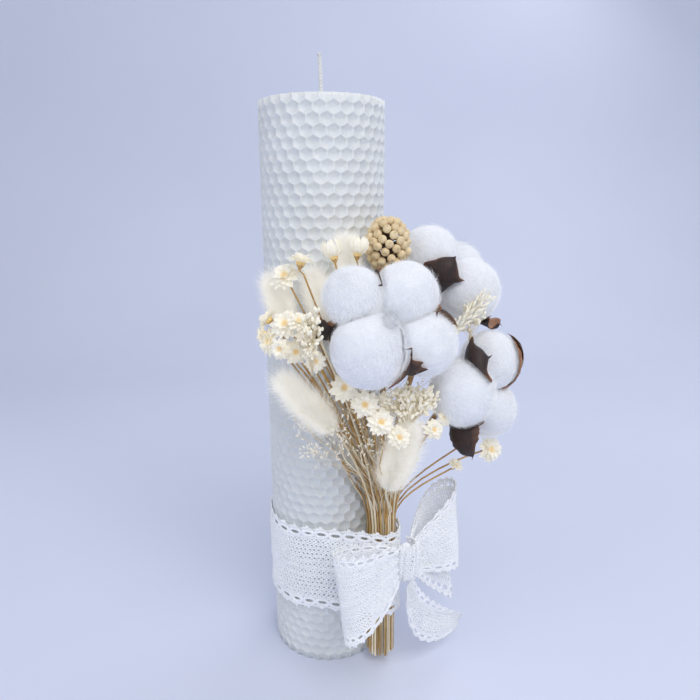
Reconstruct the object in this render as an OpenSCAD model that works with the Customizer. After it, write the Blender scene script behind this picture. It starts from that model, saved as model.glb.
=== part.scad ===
// Unity candle rolled from honeycomb wax sheets, with a dried-flower posy tied on by a lace ribbon.
// Origin: centre of the candle's foot. +Z runs up the candle, -Y is the front. Millimetres.

/* [Candle] */
// Outside diameter of the finished roll
candle_d = 55; // [54:0.5:56]
// Height of the candle, the short side of a wax sheet
candle_h = 260; // [255:1:262]
// Thickness of a wax sheet with its cells
sheet_t = 3.2; // [2.8:0.1:3.4]
// Distance from one turn of the roll to the next
turn_pitch = 3.5; // [3.45:0.05:3.8]
// Diameter of the wick
wick_d = 2; // [1.6:0.1:2.2]
// Length of wick that stands above the candle
wick_free = 20; // [15:1:20]

/* [Ribbon] */
// Width of the lace ribbon
ribbon_w = 42; // [40:1:44]
// Thickness of the lace
ribbon_t = 0.9; // [0.7:0.1:1]
// Height of the band's lower edge above the foot
band_z = 30; // [28:1:32]

/* [Posy] */
// Direction of the tied stems around the candle, from +X
tie_turn = -45; // [-46:1:-44]
// Distance between neighbouring stems in the tie
stem_pitch = 1.6; // [1.58:0.01:1.62]
// Height of the cut stem ends above the foot
foot_z = 5; // [4:1:6]
// Diameter of a cotton stem
cotton_stem_d = 2.6; // [2.2:0.1:2.6]
// Diameter of a star flower's stem
star_stem_d = 0.8; // [0.7:0.1:0.9]
// Diameter of a straw
straw_d = 1.2; // [1:0.1:1.2]
// Diameter of a berry
berry_d = 3.9; // [3.6:0.1:4]

/* [Hidden] */

candle_r = candle_d / 2;
// Clearance between the candle and everything that is tied to it
slip_gap = 0.6;
// Angle at which the outer sheet's edge lies, at the back
seam_turn = 100;
curve_step = 5;
golden = 137.508;

// The bundle of stems: its radius, the radius of its binding, and where it stands
bundle_r = 7.2;
binding_t = 0.6;
bundle_rho = candle_r + 0.3 + bundle_r + binding_t;
out_dir = [cos(tie_turn), sin(tie_turn), 0];
side_dir = [-sin(tie_turn), cos(tie_turn), 0];
tie_low = 40;
tie_high = 74;

cotton = "white";
wax = "ivory";
lace = "snow";
husk = "saddlebrown";
straw = "goldenrod";
cream = "cornsilk";

function unit(v) = v / norm(v);
function mix(a, b, t) = a + (b - a) * t;
function bezier(p, t) =
    pow(1 - t, 3) * p[0] + 3 * pow(1 - t, 2) * t * p[1] + 3 * (1 - t) * t * t * p[2] + pow(t, 3) * p[3];
function heading(path, i) = unit(path[min(i + 1, len(path) - 1)] - path[max(i - 1, 0)]);

// Rings of n points around a path, square to it, with a radius for each ring
function rings(path, radii, n) = [
    for (i = [0:len(path) - 1])
        let (t = heading(path, i), a = unit(cross(t, out_dir)), b = cross(t, a))
            [for (k = [0:n - 1]) path[i] + radii[i] * (cos(k * 360 / n) * a - sin(k * 360 / n) * b)]
];

// A closed solid whose skin joins one ring to the next
module skin(rows) {
    n = len(rows[0]);
    last = len(rows) - 1;
    sides = [
        for (i = [0:last - 1], k = [0:n - 1])
            let (a = i * n + k, b = i * n + (k + 1) % n)
                each [[a, b, b + n], [a, b + n, a + n]]
    ];
    caps = [for (k = [1:n - 2]) each [[0, k + 1, k], [last * n, last * n + k, last * n + k + 1]]];
    polyhedron(points = [for (row = rows, p = row) p], faces = concat(sides, caps));
}

// Turns +Z to a direction
module aim(dir) {
    d = unit(dir);
    rotate([0, acos(d.z), atan2(d.y, d.x)]) children();
}

// ---- Candle ----

// Radius of the outer sheet's face after a turn: level, with one dip a turn where it tucks under its edge
tuck = 40;
function sheet_r(a) =
    candle_r - turn_pitch * (floor(a / 360) + max(0, (a % 360) - 360 + tuck) / tuck);
outer_end = 720 - curve_step;
function outer_face(inset) = [
    for (a = [0:curve_step:outer_end]) (sheet_r(a) - inset) * [cos(a + seam_turn), sin(a + seam_turn)]
];
core_r = candle_r - 2 * turn_pitch;
core_turns = floor((core_r - sheet_t - wick_d / 2 - 0.3) / turn_pitch * 12) / 12;
function core_face(inset) = [
    for (a = [0:2 * curve_step:360 * core_turns])
        (core_r - inset - turn_pitch * a / 360) * [cos(a + seam_turn), sin(a + seam_turn)]
];
function backwards(list) = [for (i = [len(list) - 1:-1:0]) list[i]];

module wick() {
    color(wax) cylinder(h = candle_h + wick_free, d = wick_d, $fn = 32);
}

module core_roll() {
    color(wax) linear_extrude(candle_h) polygon(concat(core_face(0), backwards(core_face(sheet_t))));
}

module outer_sheet() {
    color(wax) linear_extrude(candle_h) polygon(concat(outer_face(0), backwards(outer_face(sheet_t))));
}

// ---- Ribbon ----

// Plan outline of a band drawn round the candle and the bundle, a given distance outside both
function band_outline(grow) =
    let (big = candle_r + slip_gap + grow, small = bundle_r + binding_t + 0.2 + grow)
    let (lean = acos((big - small) / bundle_rho))
    concat(
        [for (a = [lean:curve_step:360 - lean]) big * [cos(a + tie_turn), sin(a + tie_turn)]],
        [for (a = [-lean:2 * curve_step:lean])
            bundle_rho * [out_dir.x, out_dir.y] + small * [cos(a + tie_turn), sin(a + tie_turn)]]
    );

module ribbon_band() {
    color(lace) translate([0, 0, band_z]) linear_extrude(ribbon_w) difference() {
        polygon(band_outline(ribbon_t));
        polygon(band_outline(0));
    }
}

// The knot stands on the outside of the band, over the bundle
knot_r = 5.2;
knot_h = 18;
knot_at = (bundle_rho + bundle_r + binding_t + 0.4 + ribbon_t + knot_r) * out_dir + [0, 0, 60];

module bow_knot() {
    color(lace) translate(knot_at - [0, 0, knot_h / 2]) rotate_extrude($fn = 48)
        polygon([[0, 0], [3.4, 0], [4.6, 4], [knot_r, knot_h / 2], [4.6, 14], [3.4, knot_h], [0, knot_h]]);
}

// Rings across a strip of ribbon that runs between two edge curves
function strip(edge_a, edge_b) = [
    for (i = [0:len(edge_a) - 1])
        let (a = edge_a[i], b = edge_b[i], ahead = heading(edge_a, i) + heading(edge_b, i))
        let (n = unit(cross(ahead, b - a)) * ribbon_t / 2)
            [a + n, b + n, b - n, a - n]
];

// A loop of the bow: it leaves the knot gathered, opens to the fold, and comes back behind itself
loop_steps = 20;
function loop_edge(fold, half, depth, sign) = [
    for (i = [0:loop_steps])
        let (
            s = i / loop_steps,
            reach = sin(180 * s),
            across = unit(cross(fold - knot_at, half)),
            gather = mix([0, 0, knot_h * 0.36], half, pow(reach, 0.7))
        )
            mix(knot_at, fold, 0.1 + 0.9 * reach) + sign * gather
            + across * (depth / 2 * sin(360 * s) + ribbon_t * cos(180 * s))
];

module bow_loop(fold, half, depth) {
    color(lace) skin(strip(loop_edge(fold, half, depth, 1), loop_edge(fold, half, depth, -1)));
}

module bow_loop_left() {
    bow_loop(fold = [5, -52, 51], half = [-2.5, 2, 21], depth = 12);
}

module bow_loop_right() {
    bow_loop(fold = [61, -11, 65], half = [-0.6, 3.6, 21], depth = 13);
}

// A tail runs between two edges, each a curve with four control points
module bow_tail(edge_a, edge_b) {
    steps = [0:1 / 12:1];
    color(lace) skin(strip([for (t = steps) bezier(edge_a, t)], [for (t = steps) bezier(edge_b, t)]));
}

module bow_tail_upper() {
    bow_tail(
        [[38, -34, 66], [46, -24, 68], [54, -17, 66], [61, -8, 62]],
        [[39, -38, 54], [43, -34, 46], [51, -26, 36], [62, -13, 22]]
    );
}

module bow_tail_lower() {
    bow_tail(
        [[38, -41, 54], [41, -40, 44], [51, -32, 32], [66, -18, 17]],
        [[35, -42, 50], [32, -46, 14], [56, -24, 4], [64, -20, 12]]
    );
}

// ---- Stems ----

// A place in the tied bundle: columns run round the candle, rows run outwards
function slot(column, row) =
    bundle_rho * out_dir + stem_pitch * (column * side_dir + (row - 3) * out_dir);

// A stem rises straight through the tie and bends over to its head, which looks along face
bend = 3;
function stem_path(place, head, face) =
    let (low = place + [0, 0, foot_z], tied = place + [0, 0, tie_low], free = place + [0, 0, tie_high])
    let (reach = norm(head - free))
    let (curve = [free, free + [0, 0, reach * 0.35], head - unit(face) * bend, head])
    concat([low, tied], [for (t = [0:1 / 8:1]) bezier(curve, t)]);

module stem(place, head, face, d, flare = 0) {
    path = stem_path(place, head, face);
    last = len(path) - 1;
    cup = flare > 0 ? [path[last] - unit(face) * flare * 1.3] : [];
    full = concat([for (i = [0:last - 1]) path[i]], cup, [path[last]]);
    radii = [for (i = [0:len(full) - 1]) i == len(full) - 1 && flare > 0 ? flare : d / 2];
    skin(rings(full, radii, 6));
}

module stem_tie() {
    height = 10;
    binding_z = 47;
    color("tan") translate(bundle_rho * out_dir + [0, 0, binding_z]) difference() {
        cylinder(h = height, r = bundle_r + binding_t, $fn = 48);
        translate([0, 0, -1]) cylinder(h = height + 2, r = bundle_r, $fn = 48);
    }
}

// Straws fill the slots that no flower takes: [column, row, height, slope sideways, slope outwards]
straws = [
    [-1, 3, 122, -0.2, 0], [0, 0, 128, 0, -0.03], [0, 1, 124, -0.05, 0], [0, 4, 118, -0.06, 0.1],
    [0, 5, 100, -0.15, 0.12], [1, 0, 126, 0.05, 0], [1, 3, 120, 0.05, 0.1], [2, 0, 118, 0.12, 0.02],
    [2, 5, 108, 0.1, 0.35], [3, 1, 114, 0.2, 0.05], [3, 2, 116, 0.25, 0.12], [4, 2, 110, 0.32, 0.14]
];

module straw_stems() {
    color(straw) for (s = straws) {
        lean = s[3] * side_dir + s[4] * out_dir;
        place = slot(s[0], s[1]);
        stem(place, place + [0, 0, s[2]] + (s[2] - tie_high) * lean, [0, 0, 1] + lean, straw_d);
    }
}

// ---- Cotton ----

// Each lock of lint is [centre, radius]
front_locks = [[[11, -53, 183], 11], [[31, -50, 183], 12], [[17, -58, 164], 14], [[38, -54, 165], 12]];
right_locks = [[[46, -14, 195], 12], [[63, -17, 180], 13], [[46, -5, 183], 11], [[61, -2, 188], 11]];
lower_locks = [[[57, -40, 140], 13], [[72, -25, 150], 12], [[72, -25, 128], 12], [[62, -19, 138], 11]];
front_base = [24, -40, 166];
right_base = [53, -18, 178];
lower_base = [61, -30, 141];

module lint(locks) {
    color(cotton) for (lock = locks) translate(lock[0]) sphere(r = lock[1], $fn = 48);
}

// Each leaf of a burr is [belly, tip, width]: it leaves the base, wraps round the lint and ends in a point
leaf_t = 1.3;
function leaf_rings(base, belly, tip, width) = [
    for (t = [0:1 / 8:1])
        let (
            p = bezier([base, mix(base, belly, 0.9), mix(belly, tip, 0.35), tip], t),
            ahead = unit(mix(belly - base, tip - belly, t)),
            side = unit(cross(ahead, unit(belly - base) - unit(tip - belly))),
            w = width / 2 * (0.12 + 0.88 * pow(sin(180 * min(1, t * 0.92 + 0.08)), 0.8)),
            n = unit(cross(side, ahead)) * leaf_t / 2
        )
            [p + side * w, p + n, p - side * w, p - n]
];

module burr(base, leaves) {
    color(husk) {
        for (leaf = leaves) skin(leaf_rings(base, leaf[0], leaf[1], leaf[2]));
        translate(base) sphere(r = 3, $fn = 10);
    }
}

front_leaves = [
    [[-2, -46, 168], [4, -60, 176], 12], [[33, -54, 152], [28, -67, 164], 12],
    [[51, -45, 173], [42, -59, 176], 10], [[19, -40, 194], [19, -57, 188], 9]
];
right_leaves = [
    [[43, -33, 186], [53, -29, 196], 13], [[73, -14, 161], [77, -24, 165], 10],
    [[40, 2, 196], [48, 6, 204], 10]
];
lower_leaves = [
    [[57, -43, 158], [67, -39, 158], 15], [[52, -38, 121], [59, -47, 114], 12],
    [[83, -14, 148], [84, -25, 157], 9], [[70, -10, 124], [79, -12, 116], 10]
];

module front_boll_lint() { lint(front_locks); }
module right_boll_lint() { lint(right_locks); }
module lower_boll_lint() { lint(lower_locks); }
module front_boll_burr() { burr(front_base, front_leaves); }
module right_boll_burr() { burr(right_base, right_leaves); }
module lower_boll_burr() { burr(lower_base, lower_leaves); }

module front_boll_stem() {
    color(husk) stem(slot(-1.5, 4.5), front_base + [0, 3, -2], [0, -0.7, 0.7], cotton_stem_d);
}

module right_boll_stem() {
    color(husk) stem(slot(1.5, 1.5), right_base + [-3, 0, -3], [0.6, 0.1, 0.8], cotton_stem_d);
}

module lower_boll_stem() {
    color(husk) stem(slot(2.5, 3.5), lower_base + [-3, 1, -2], [0.8, -0.2, 0.5], cotton_stem_d);
}

// A clear drop sits where the four front locks meet
module dew_bead() {
    color("lightcyan", 0.5) translate([24, -64.5, 176]) sphere(r = 3.4, $fn = 48);
}

// ---- Bunny tails ----

// Each head is [base, tip, largest radius]
tail_left = [[4, -43, 125], [-20, -50, 153], 6];
tail_centre = [[25, -45, 99], [35, -54, 135], 7];
tail_back = [[1, -36, 170], [-5, -36, 192], 5.5];
tail_outer = [[-15, -34, 169], [-22, -34, 190], 5];
tail_high = [[11, -33.5, 183], [8, -33.5, 206], 4.5];
tails = [tail_left, tail_centre, tail_back, tail_outer, tail_high];
tail_slots = [[-4, 3], [0, 6], [-2, 3], [-2, 0], [0, 2]];

module bunny_tail(tail) {
    axis = tail[1] - tail[0];
    h = norm(axis);
    color(cream) translate(tail[0]) aim(axis) rotate_extrude($fn = 48) polygon(concat(
        [[0, 0]],
        [for (t = [0.04:0.12:0.96]) [tail[2] * pow(sin(180 * pow(t, 0.8)), 0.7), h * t]],
        [[0, h]]
    ));
}

module bunny_tail_left() { bunny_tail(tail_left); }
module bunny_tail_centre() { bunny_tail(tail_centre); }
module bunny_tail_back() { bunny_tail(tail_back); }
module bunny_tail_outer() { bunny_tail(tail_outer); }
module bunny_tail_high() { bunny_tail(tail_high); }

module bunny_tail_stalks() {
    stalk_d = 1;
    color("tan") for (i = [0:len(tails) - 1]) {
        axis = unit(tails[i][1] - tails[i][0]);
        stem(slot(tail_slots[i][0], tail_slots[i][1]), tails[i][0] - 0.1 * axis, axis, stalk_d);
    }
}

// ---- Star flowers ----

// Each flower is [column, row, head, face, radius]
star_left = [
    [-3, 2, [-15, -46, 171], [-0.3, -0.7, 0.6], 5], [-4, 2, [-21, -44, 164], [-0.7, -0.5, 0.3], 4.5],
    [-3, 3, [-12, -48, 161], [0.2, -0.8, 0.2], 4], [-3, 4, [-8, -50, 168], [0.4, -0.7, 0.5], 3.5],
    [-3, 1, [-22, -40, 172], [-0.8, 0.2, 0.6], 4]
];
star_centre = [
    [-3, 5, [9, -43, 152], [-0.2, -0.3, 0.9], 3.5], [-2, 6, [7, -53, 147], [0.1, -0.8, 0.5], 4.5],
    [-1, 6, [15, -55, 141], [0, -0.9, 0.3], 4.5], [1, 6, [21, -57, 134], [0.2, -0.8, 0.5], 4.5],
    [2, 6, [43, -50, 128], [0.3, -0.8, 0.4], 3.5]
];
star_right = [
    [4, 4, [73, -27, 109], [0.4, -0.8, 0.3], 5], [4, 3, [63, -18, 108], [0.5, 0.5, 0.7], 4],
    [3, 5, [57, -31, 103], [0.4, -0.2, 0.9], 3]
];
star_upper = [
    [-2, 1, [-15, -40, 189], [-0.3, -0.7, 0.7], 5], [-2, 2, [-9, -45, 195], [0.2, 0.1, 1], 4.5]
];
star_buds = [[-1, 1, [4, -44, 197], [-0.2, 0, 1], 4], [-1, 2, [13, -43, 198], [0.1, 0, 1], 4]];

module star_heads(flowers) {
    color(cream) for (f = flowers) translate(f[2]) aim(f[3]) rotate_extrude($fn = 32)
        polygon(f[4] * [[0, 0], [0.35, 0], [0.8, 0.3], [1, 0.75], [0.85, 0.8], [0.5, 0.45], [0, 0.4]]);
}

module star_stems(flowers) {
    calyx_r = 0.42;
    color(straw) for (f = flowers) {
        stem(slot(f[0], f[1]), f[2], f[3], star_stem_d, flare = f[4] * calyx_r);
    }
}

module star_left_heads() { star_heads(star_left); }
module star_left_stems() { star_stems(star_left); }
module star_centre_heads() { star_heads(star_centre); }
module star_centre_stems() { star_stems(star_centre); }
module star_right_heads() { star_heads(star_right); }
module star_right_stems() { star_stems(star_right); }
module star_upper_heads() { star_heads(star_upper); }
module star_upper_stems() { star_stems(star_upper); }

// The closed buds are egg-shaped
module star_bud_heads() {
    color(cream) for (f = star_buds) translate(f[2]) aim(f[3]) rotate_extrude($fn = 32)
        polygon(f[4] * [[0, 0], [0.5, 0], [0.9, 0.5], [1, 1], [0.75, 1.6], [0.4, 1.85], [0, 1.9]]);
}

module star_bud_stems() { star_stems(star_buds); }

// ---- Berries ----

berry_centre = [26, -31, 201];
berry_count = 40;
berry_spread = [7.8, 7.8, 10.2];
function berry_at(i) =
    let (z = 1 - 2 * (i + 0.5) / berry_count, r = sqrt(1 - z * z))
    let (s = berry_spread)
    berry_centre + [s.x * r * cos(golden * i), s.y * r * sin(golden * i), s.z * z];

module berries() {
    color("wheat") for (i = [0:berry_count - 1]) translate(berry_at(i)) sphere(d = berry_d, $fn = 24);
}

// The trunk ends inside the cluster
module berry_stem() {
    trunk_d = 1.6;
    color(husk) stem(slot(0, 3), berry_centre + [0, 0, 3], [0, 0, 1], trunk_d);
}

// ---- Filler sprays ----

// Each spray is [column, row, centre, half size, number of buds]
spray_left = [-4, 4, [-5, -58, 170], [3, 3, 10], 14];
spray_centre = [1, 5, [32, -52, 141], [11, 3, 6], 20];
spray_right = [1, 4, [61, -33, 172], [6, 2, 7], 12];
bud_r = 1.1;

// Buds lie in a rising spiral through the spray
function bud_at(spray, i) =
    let (z = 2 * (i + 0.5) / spray[4] - 1, r = sqrt(1 - z * z), s = spray[3])
    spray[2] + [s.x * (r * cos(golden * i) + 0.5 * z), s.y * r * sin(golden * i), s.z * z];

module spray_buds(spray) {
    color("honeydew") for (i = [0:spray[4] - 1]) translate(bud_at(spray, i)) sphere(r = bud_r, $fn = 16);
}

// The stem runs up through the middle of its spray
module spray_stems(spray) {
    main_d = 0.9;
    top = spray[2] + [0, 0, spray[3].z * 0.6];
    color("darkkhaki") stem(slot(spray[0], spray[1]), top, [0, 0, 1], main_d);
}

module filler_left_buds() { spray_buds(spray_left); }
module filler_left_stems() { spray_stems(spray_left); }
module filler_centre_buds() { spray_buds(spray_centre); }
module filler_centre_stems() { spray_stems(spray_centre); }
module filler_right_buds() { spray_buds(spray_right); }
module filler_right_stems() { spray_stems(spray_right); }

wick();
core_roll();
outer_sheet();
ribbon_band();
bow_knot();
bow_loop_left();
bow_loop_right();
bow_tail_upper();
bow_tail_lower();
stem_tie();
dew_bead();
front_boll_lint();
front_boll_burr();
front_boll_stem();
right_boll_lint();
right_boll_burr();
right_boll_stem();
lower_boll_lint();
lower_boll_burr();
lower_boll_stem();
bunny_tail_left();
bunny_tail_centre();
bunny_tail_back();
bunny_tail_outer();
bunny_tail_high();
bunny_tail_stalks();
star_left_heads();
star_left_stems();
star_centre_heads();
star_centre_stems();
star_right_heads();
star_right_stems();
star_upper_heads();
star_upper_stems();
star_bud_heads();
star_bud_stems();
berries();
berry_stem();
filler_left_buds();
filler_left_stems();
filler_centre_buds();
filler_centre_stems();
filler_right_buds();
filler_right_stems();
straw_stems();
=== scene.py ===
import math

import bmesh
import bpy
import numpy as np
from mathutils import Matrix, Vector


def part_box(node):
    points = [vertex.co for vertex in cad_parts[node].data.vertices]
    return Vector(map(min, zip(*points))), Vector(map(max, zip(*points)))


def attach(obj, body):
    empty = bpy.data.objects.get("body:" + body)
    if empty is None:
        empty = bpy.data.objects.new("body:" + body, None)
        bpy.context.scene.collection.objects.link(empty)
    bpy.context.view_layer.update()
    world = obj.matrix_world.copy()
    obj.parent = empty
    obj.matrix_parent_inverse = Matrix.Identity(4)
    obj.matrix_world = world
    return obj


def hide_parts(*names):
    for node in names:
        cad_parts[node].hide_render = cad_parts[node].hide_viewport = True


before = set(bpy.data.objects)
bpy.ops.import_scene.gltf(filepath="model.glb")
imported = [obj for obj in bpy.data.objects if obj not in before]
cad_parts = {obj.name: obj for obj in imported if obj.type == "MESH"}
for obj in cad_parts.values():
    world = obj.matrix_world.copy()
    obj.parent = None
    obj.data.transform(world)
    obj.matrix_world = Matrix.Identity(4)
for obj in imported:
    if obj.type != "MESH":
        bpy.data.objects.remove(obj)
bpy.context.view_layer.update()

# The scene works in millimetres and writes metres. Candle axis on +Z, front towards -Y.
MM = 0.001


def box_mm(node):
    low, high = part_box(node)
    return np.array(low) / MM, np.array(high) / MM


def unit(v):
    v = np.asarray(v, float)
    return v / np.linalg.norm(v, axis=-1, keepdims=True)


def mix(a, b, t):
    return np.asarray(a, float) + (np.asarray(b, float) - np.asarray(a, float)) * t


def bezier(p, t):
    p = [np.asarray(q, float) for q in p]
    t = np.asarray(t, float)[..., None]
    s = 1 - t
    return s**3 * p[0] + 3 * s**2 * t * p[1] + 3 * s * t * t * p[2] + t**3 * p[3]


def circle(turn):
    """Points of a unit circle at the given angles."""
    return np.stack([np.cos(turn), np.sin(turn)], -1)


def ring_angles(count):
    return np.arange(count) * 2 * math.pi / count


def add_object(name, data):
    obj = bpy.data.objects.new(name, data)
    bpy.context.scene.collection.objects.link(obj)
    return obj


# ---- Measures taken from the frame ----

low, high = box_mm("outer_sheet")
CANDLE_R = (high[0] - low[0]) / 2
CANDLE_H = high[2]
low, high = box_mm("stem_tie")
BUNDLE = (low + high) / 2
BUNDLE_R = (high[0] - low[0]) / 2
TIE_TURN = math.atan2(BUNDLE[1], BUNDLE[0])
OUT = np.array([math.cos(TIE_TURN), math.sin(TIE_TURN), 0])
SIDE = np.array([-OUT[1], OUT[0], 0])
low, high = box_mm("ribbon_band")
BAND_Z, BAND_W = low[2], high[2] - low[2]
low, high = box_mm("bow_knot")
KNOT, KNOT_H = (low + high) / 2, high[2] - low[2]
KNOT_R = (high[0] - low[0]) / 2
WICK_TOP = box_mm("wick")[1][2]
FOOT_Z = box_mm("straw_stems")[0][2]


def solids(node):
    """The points of each separate solid of a CAD node, in millimetres."""
    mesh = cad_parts[node].data
    points = np.array([v.co for v in mesh.vertices]) / MM
    root = np.arange(len(points))
    edges = np.array([e.vertices for e in mesh.edges])
    while True:
        least = np.minimum(root[edges[:, 0]], root[edges[:, 1]])
        new = root.copy()
        np.minimum.at(new, edges[:, 0], least)
        np.minimum.at(new, edges[:, 1], least)
        new = new[new]
        if (new == root).all():
            break
        root = new
    return [points[root == r] for r in np.unique(root)]


# ---- Mesh helpers ----

def join(parts):
    """One (points, faces, shade) out of several, each (points, [face arrays], shade or a number)."""
    points, faces, shades, base = [], {}, [], 0
    for part in parts:
        p, f = part[0], part[1]
        shade = part[2] if len(part) > 2 else 0.0
        points.append(p)
        shades.append(np.broadcast_to(np.asarray(shade, float), (len(p),)))
        for group in f:
            group = np.asarray(group)
            faces.setdefault(group.shape[1], []).append(group + base)
        base += len(p)
    return np.concatenate(points), [np.concatenate(g) for g in faces.values()], np.concatenate(shades)


def piece(name, part, material, body, replaced=()):
    """A Blender mesh from numpy arrays, riding on a body."""
    points, faces = part[0], part[1]
    mesh = bpy.data.meshes.new(name)
    mesh.vertices.add(len(points))
    mesh.vertices.foreach_set("co", (np.asarray(points, float) * MM).ravel())
    loops = np.concatenate([f.ravel() for f in faces])
    sizes = np.concatenate([np.full(len(f), f.shape[1]) for f in faces])
    mesh.loops.add(len(loops))
    mesh.loops.foreach_set("vertex_index", loops.astype(np.int32))
    mesh.polygons.add(len(sizes))
    mesh.polygons.foreach_set("loop_start", (np.cumsum(sizes) - sizes).astype(np.int32))
    mesh.update(calc_edges=True)
    mesh.polygons.foreach_set("use_smooth", np.full(len(sizes), True))
    if len(part) > 2:
        layer = mesh.attributes.new("shade", "FLOAT", "POINT")
        shade = np.broadcast_to(np.asarray(part[2], np.float32), (len(points),))
        layer.data.foreach_set("value", np.ascontiguousarray(shade))
    mesh.validate()
    mesh.materials.append(material)
    obj = add_object(name, mesh)
    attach(obj, body)
    if replaced:
        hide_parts(*replaced)
    return obj


def grid_faces(rows, cols, wrap=True):
    """Quads between rows of a grid of points, closed round each row when wrap is set."""
    i, k = np.meshgrid(np.arange(rows - 1), np.arange(cols if wrap else cols - 1), indexing="ij")
    i, k = i.ravel(), k.ravel()
    right = (k + 1) % cols
    return np.stack([i * cols + k, i * cols + right, (i + 1) * cols + right, (i + 1) * cols + k], 1)


def closed_faces(rows, cols):
    """Faces of a closed skin made of rings of points, followed by the points at its two ends."""
    k = np.arange(cols)
    right = (k + 1) % cols
    last, end = (rows - 1) * cols, rows * cols
    caps = np.concatenate([
        np.stack([np.full(cols, end), right, k], 1),
        np.stack([np.full(cols, end + 1), last + k, last + right], 1),
    ])
    return [grid_faces(rows, cols), caps]


def square_directions(path):
    """Two directions square to a path at each of its points, turning as little as they can."""
    path = np.asarray(path, float)
    ahead = unit(np.gradient(path, axis=0))
    start = np.array([0.3, 0.2, 0.9]) if abs(ahead[0, 2]) < 0.8 else OUT
    a = [unit(np.cross(ahead[0], start))]
    for t in ahead[1:]:
        a.append(unit(a[-1] - t * (a[-1] @ t)))
    a = np.array(a)
    return a, np.cross(ahead, a)


def spokes(a, b, count):
    """Unit vectors round each point, in the plane of the directions a and b."""
    turn = ring_angles(count)
    return np.cos(turn)[None, :, None] * a[:, None] + np.sin(turn)[None, :, None] * b[:, None]


def tube(path, radius, sides=6):
    """A closed rod along a path; radius is one number or one for each point."""
    path = np.asarray(path, float)
    radius = np.broadcast_to(np.asarray(radius, float), (len(path),))
    ring = spokes(*square_directions(path), sides)
    points = (path[:, None] + radius[:, None, None] * ring).reshape(-1, 3)
    ends = np.stack([path[0], path[-1]])
    return np.concatenate([points, ends]), closed_faces(len(path), sides), 0.0


def hairs(roots, paths, radius):
    """Thin closed three-sided hairs. paths is (n, k, 3): offsets from each root, ending in the tip."""
    n, k, _ = paths.shape
    centre = roots[:, None] + paths
    ahead = unit(centre[:, -1] - centre[:, 0] + 1e-9)
    a = unit(np.cross(ahead, np.array([0.31, 0.52, 0.79])))
    ring = spokes(a, np.cross(ahead, a), 3)
    taper = np.linspace(1, 0.35, k - 1)
    rings = centre[:, :-1, None] + radius * taper[None, :, None, None] * ring[:, None]
    points = np.concatenate([rings.reshape(n, -1, 3), centre[:, -1:]], 1)
    size = 3 * (k - 1) + 1
    side = grid_faces(k - 1, 3)
    tip = np.array([[3 * (k - 2) + i, 3 * (k - 2) + (i + 1) % 3, size - 1] for i in range(3)])
    base = np.array([[2, 1, 0]])
    offset = (np.arange(n) * size)[:, None, None]
    tris = (np.concatenate([tip, base])[None] + offset).reshape(-1, 3)
    quads = (side[None] + offset).reshape(-1, 4)
    return points.reshape(-1, 3), [quads, tris], 0.0


def ball(centre, radii, rows=12, cols=16, bumps=None, axis=(0, 0, 1)):
    """A closed lathe-like ball; bumps(directions) gives a factor for the radius."""
    polar = np.linspace(0, math.pi, rows + 1)[1:-1]
    p, t = np.meshgrid(polar, ring_angles(cols), indexing="ij")
    d = np.stack([np.sin(p) * np.cos(t), np.sin(p) * np.sin(t), -np.cos(p)], -1).reshape(-1, 3)
    d = np.concatenate([d, [[0, 0, -1], [0, 0, 1]]])
    scale = np.ones(len(d)) if bumps is None else bumps(d)
    local = d * scale[:, None] * np.asarray(radii, float)
    return turned(local, axis) + np.asarray(centre, float), closed_faces(rows - 1, cols)


def rippled(depth, count):
    """A bumps function for ball: ripples of the given depth, counted round its axis."""
    def bumps(d):
        return 1 + depth * np.sin(count * np.arctan2(d[:, 1], d[:, 0]))

    return bumps


def rough(depth, size, seed):
    """A bumps function for ball: smooth noise of the given depth and size."""
    def bumps(d):
        return 1 + depth * waves(d, size, seed)

    return bumps


def pointed(depth):
    """A bumps function for ball: its upper half drawn in towards the top."""
    def bumps(d):
        return 1 - depth * np.clip(d[:, 2], 0, 1)

    return bumps


def tapered(depth):
    """A bumps function for ball: drawn in at its top and swollen at its foot."""
    def bumps(d):
        return 1 - depth * d[:, 2]

    return bumps


def turned(points, axis):
    """Points turned so that +Z lies along axis."""
    z = unit(axis)
    helper = np.array([1.0, 0, 0]) if abs(z[0]) < 0.9 else np.array([0, 1.0, 0])
    x = unit(np.cross(helper, z))
    y = np.cross(z, x)
    return points @ np.stack([x, y, z])


def waves(points, size, seed):
    """Smooth noise from a few sine waves, about -1 to 1, with features of the given size in mm."""
    draw = np.random.default_rng(seed)
    total = np.zeros(len(points))
    for _ in range(8):
        direction = unit(draw.normal(size=3)) * 2 * math.pi / (size * draw.uniform(0.7, 1.6))
        total += np.sin(points @ direction + draw.uniform(0, 6.28))
    return total / 4


# ---- Materials ----

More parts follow.
